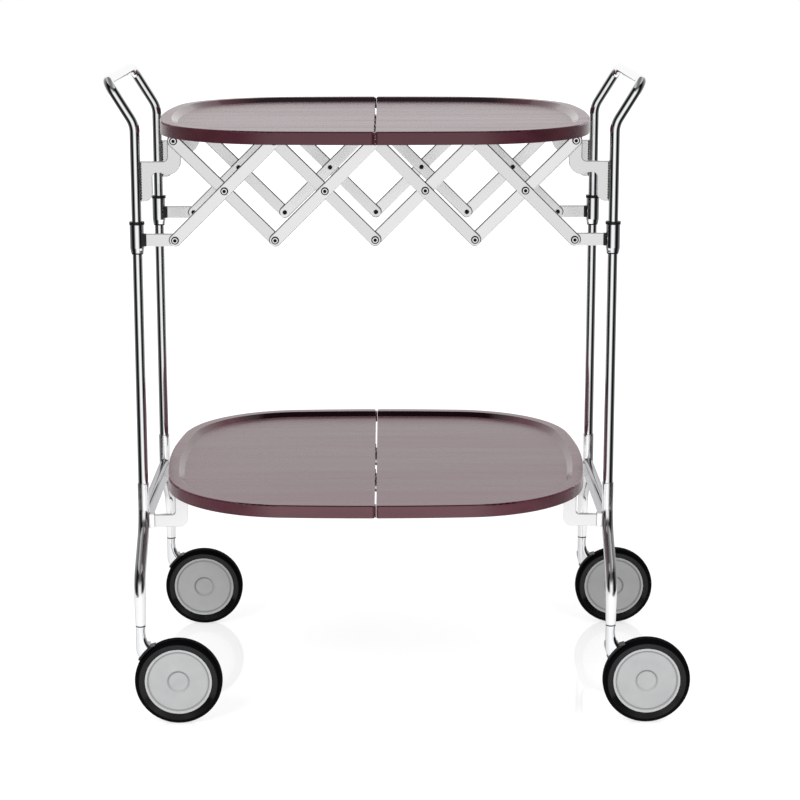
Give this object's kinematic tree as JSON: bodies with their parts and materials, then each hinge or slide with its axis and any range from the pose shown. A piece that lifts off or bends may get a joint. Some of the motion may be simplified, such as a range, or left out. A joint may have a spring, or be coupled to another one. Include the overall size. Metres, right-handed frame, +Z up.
{
  "type": "folding serving trolley",
  "caption": "Folding serving trolley with two hinged trays, scissor lattices between chromed tube end frames, and swivel castors with thin wheels.",
  "frame": {"origin": "on the floor, midway between the two end frames", "axes": "+X from the left end frame to the right one, +Y from front to back, +Z up"},
  "size_m": [0.662, 0.476, 0.7325],
  "materials": {
    "chrome": "bright chrome plate",
    "polished_casting": "polished casting",
    "pale_metal": "pale satin metal",
    "plum_plastic": "satin moulded plastic, dark plum",
    "black_plastic": "satin black moulding",
    "rubber": "smooth black rubber",
    "grey_plastic": "light grey moulding",
    "steel": "turned steel"
  },
  "bodies": {
    "left_frame": {"left_end_hoop": "chrome", "left_base_casting": "polished_casting", "left_top_brackets": "pale_metal", "left_lower_arms": "pale_metal", "left_tray_screws": "steel"},
    "left_slider": {"left_slider_sleeves": "chrome", "left_slider_bushes": "black_plastic", "left_slider_arms": "pale_metal"},
    "right_frame": {"right_end_hoop": "chrome", "right_base_casting": "polished_casting", "right_top_brackets": "pale_metal", "right_lower_arms": "pale_metal", "right_tray_screws": "steel"},
    "right_slider": {"right_slider_sleeves": "chrome", "right_slider_bushes": "black_plastic", "right_slider_arms": "pale_metal"},
    "upper_tray_left": {"upper_tray_left_half": "plum_plastic", "upper_tray_hinge_pins": "steel"},
    "upper_tray_right": {"upper_tray_right_half": "plum_plastic"},
    "lower_tray_left": {"lower_tray_left_half": "plum_plastic", "lower_tray_hinge_pins": "steel"},
    "lower_tray_right": {"lower_tray_right_half": "plum_plastic"},
    "cell_1_rising": {"front_cell_1_rising_bar": "pale_metal", "back_cell_1_rising_bar": "pale_metal", "cell_1_rising_screws": "steel"},
    "cell_1_falling": {"front_cell_1_falling_bar": "pale_metal", "back_cell_1_falling_bar": "pale_metal"},
    "cell_2_rising": {"front_cell_2_rising_bar": "pale_metal", "back_cell_2_rising_bar": "pale_metal", "cell_2_rising_screws": "steel"},
    "cell_2_falling": {"front_cell_2_falling_bar": "pale_metal", "back_cell_2_falling_bar": "pale_metal", "cell_2_falling_screws": "steel"},
    "cell_3_rising": {"front_cell_3_rising_bar": "pale_metal", "back_cell_3_rising_bar": "pale_metal"},
    "cell_3_falling": {"front_cell_3_falling_bar": "pale_metal", "back_cell_3_falling_bar": "pale_metal", "cell_3_falling_screws": "steel"},
    "cell_4_rising": {"front_cell_4_rising_bar": "pale_metal", "back_cell_4_rising_bar": "pale_metal"},
    "cell_4_falling": {"front_cell_4_falling_bar": "pale_metal", "back_cell_4_falling_bar": "pale_metal", "cell_4_falling_screws": "steel"},
    "front_left_castor": {"front_left_castor_fork": "chrome", "front_left_castor_hood": "black_plastic"},
    "front_left_wheel": {"front_left_castor_tyre": "rubber", "front_left_castor_hub": "grey_plastic"},
    "front_right_castor": {"front_right_castor_fork": "chrome", "front_right_castor_hood": "black_plastic"},
    "front_right_wheel": {"front_right_castor_tyre": "rubber", "front_right_castor_hub": "grey_plastic"},
    "back_left_castor": {"back_left_castor_fork": "chrome", "back_left_castor_hood": "black_plastic"},
    "back_left_wheel": {"back_left_castor_tyre": "rubber", "back_left_castor_hub": "grey_plastic"},
    "back_right_castor": {"back_right_castor_fork": "chrome", "back_right_castor_hood": "black_plastic"},
    "back_right_wheel": {"back_right_castor_tyre": "rubber", "back_right_castor_hub": "grey_plastic"}
  },
  "joints": [
    {"name": "fold", "type": "hinge", "parent": "left_frame", "child": "upper_tray_left", "pos_m": [-0.2242, 0, 0.661], "axis": [0, -1, 0], "range_deg": [0, 76]},
    {"name": "upper_tray_middle_hinge", "type": "hinge", "parent": "upper_tray_left", "child": "upper_tray_right", "pos_m": [0, 0, 0.661], "axis": [0, -1, 0], "range_deg": [-152.05, 0]},
    {"name": "upper_tray_right_pivot", "type": "hinge", "parent": "upper_tray_right", "child": "right_frame", "pos_m": [0.2242, 0, 0.661], "axis": [0, -1, 0], "range_deg": [0, 76.05]},
    {"name": "lower_tray_left_pivot", "type": "hinge", "parent": "left_frame", "child": "lower_tray_left", "pos_m": [-0.2242, 0, 0.2513], "axis": [0, -1, 0], "range_deg": [0, 76.05]},
    {"name": "lower_tray_right_pivot", "type": "hinge", "parent": "right_frame", "child": "lower_tray_right", "pos_m": [0.2242, 0, 0.2513], "axis": [0, -1, 0], "range_deg": [-76.05, 0]},
    {"name": "cell_1_top_pivot", "type": "hinge", "parent": "left_frame", "child": "cell_1_falling", "pos_m": [-0.2242, 0, 0.661], "axis": [0, -1, 0], "range_deg": [-35.43, 0]},
    {"name": "cell_1_crossing", "type": "hinge", "parent": "cell_1_falling", "child": "cell_1_rising", "pos_m": [-0.16815, 0, 0.6055], "axis": [0, -1, 0], "range_deg": [0, 70.82]},
    {"name": "cell_2_bottom_pivot", "type": "hinge", "parent": "cell_1_falling", "child": "cell_2_rising", "pos_m": [-0.1121, 0, 0.55], "axis": [0, -1, 0], "range_deg": [0, 70.82]},
    {"name": "cell_2_crossing", "type": "hinge", "parent": "cell_2_rising", "child": "cell_2_falling", "pos_m": [-0.05605, 0, 0.6055], "axis": [0, -1, 0], "range_deg": [-70.82, 0]},
    {"name": "left_slider_pivot", "type": "hinge", "parent": "cell_1_rising", "child": "left_slider", "pos_m": [-0.2242, 0, 0.55], "axis": [0, -1, 0], "range_deg": [-35.43, 0]},
    {"name": "cell_4_top_pivot", "type": "hinge", "parent": "right_frame", "child": "cell_4_rising", "pos_m": [0.2242, 0, 0.661], "axis": [0, -1, 0], "range_deg": [0, 35.43]},
    {"name": "cell_4_crossing", "type": "hinge", "parent": "cell_4_rising", "child": "cell_4_falling", "pos_m": [0.16815, 0, 0.6055], "axis": [0, -1, 0], "range_deg": [-70.82, 0]},
    {"name": "cell_3_bottom_pivot", "type": "hinge", "parent": "cell_4_rising", "child": "cell_3_falling", "pos_m": [0.1121, 0, 0.55], "axis": [0, -1, 0], "range_deg": [-70.82, 0]},
    {"name": "cell_3_crossing", "type": "hinge", "parent": "cell_3_falling", "child": "cell_3_rising", "pos_m": [0.05605, 0, 0.6055], "axis": [0, -1, 0], "range_deg": [0, 70.82]},
    {"name": "right_slider_pivot", "type": "hinge", "parent": "cell_4_falling", "child": "right_slider", "pos_m": [0.2242, 0, 0.55], "axis": [0, -1, 0], "range_deg": [0, 35.43]},
    {"name": "front_left_swivel", "type": "hinge", "parent": "left_frame", "child": "front_left_castor", "pos_m": [-0.2675, -0.1777, 0.1151], "axis": [0, 0, 1], "continuous": true},
    {"name": "front_left_wheel_spin", "type": "hinge", "parent": "front_left_castor", "child": "front_left_wheel", "pos_m": [-0.2255, -0.1777, 0.05], "axis": [0, 1, 0], "continuous": true},
    {"name": "front_right_swivel", "type": "hinge", "parent": "right_frame", "child": "front_right_castor", "pos_m": [0.2675, -0.1777, 0.1151], "axis": [0, 0, 1], "continuous": true},
    {"name": "front_right_wheel_spin", "type": "hinge", "parent": "front_right_castor", "child": "front_right_wheel", "pos_m": [0.3095, -0.1777, 0.05], "axis": [0, 1, 0], "continuous": true},
    {"name": "back_left_swivel", "type": "hinge", "parent": "left_frame", "child": "back_left_castor", "pos_m": [-0.2675, 0.1777, 0.1151], "axis": [0, 0, 1], "continuous": true},
    {"name": "back_left_wheel_spin", "type": "hinge", "parent": "back_left_castor", "child": "back_left_wheel", "pos_m": [-0.2255, 0.1777, 0.05], "axis": [0, 1, 0], "continuous": true},
    {"name": "back_right_swivel", "type": "hinge", "parent": "right_frame", "child": "back_right_castor", "pos_m": [0.2675, 0.1777, 0.1151], "axis": [0, 0, 1], "continuous": true},
    {"name": "back_right_wheel_spin", "type": "hinge", "parent": "back_right_castor", "child": "back_right_wheel", "pos_m": [0.3095, 0.1777, 0.05], "axis": [0, 1, 0], "continuous": true}
  ],
  "couplings": [
    {"joint": "upper_tray_middle_hinge", "follows": "fold", "ratio": -2},
    {"joint": "upper_tray_right_pivot", "follows": "fold", "ratio": 1},
    {"joint": "lower_tray_left_pivot", "follows": "fold", "ratio": 1},
    {"joint": "lower_tray_right_pivot", "follows": "fold", "ratio": -1},
    {"joint": "cell_1_top_pivot", "follows": "fold", "ratio": -0.46558},
    {"joint": "cell_1_crossing", "follows": "fold", "ratio": 0.93115},
    {"joint": "cell_2_bottom_pivot", "follows": "fold", "ratio": 0.93115},
    {"joint": "cell_2_crossing", "follows": "fold", "ratio": -0.93115},
    {"joint": "left_slider_pivot", "follows": "fold", "ratio": -0.46558},
    {"joint": "cell_4_top_pivot", "follows": "fold", "ratio": 0.46558},
    {"joint": "cell_4_crossing", "follows": "fold", "ratio": -0.93115},
    {"joint": "cell_3_bottom_pivot", "follows": "fold", "ratio": -0.93115},
    {"joint": "cell_3_crossing", "follows": "fold", "ratio": 0.93115},
    {"joint": "right_slider_pivot", "follows": "fold", "ratio": 0.46558}
  ]
}
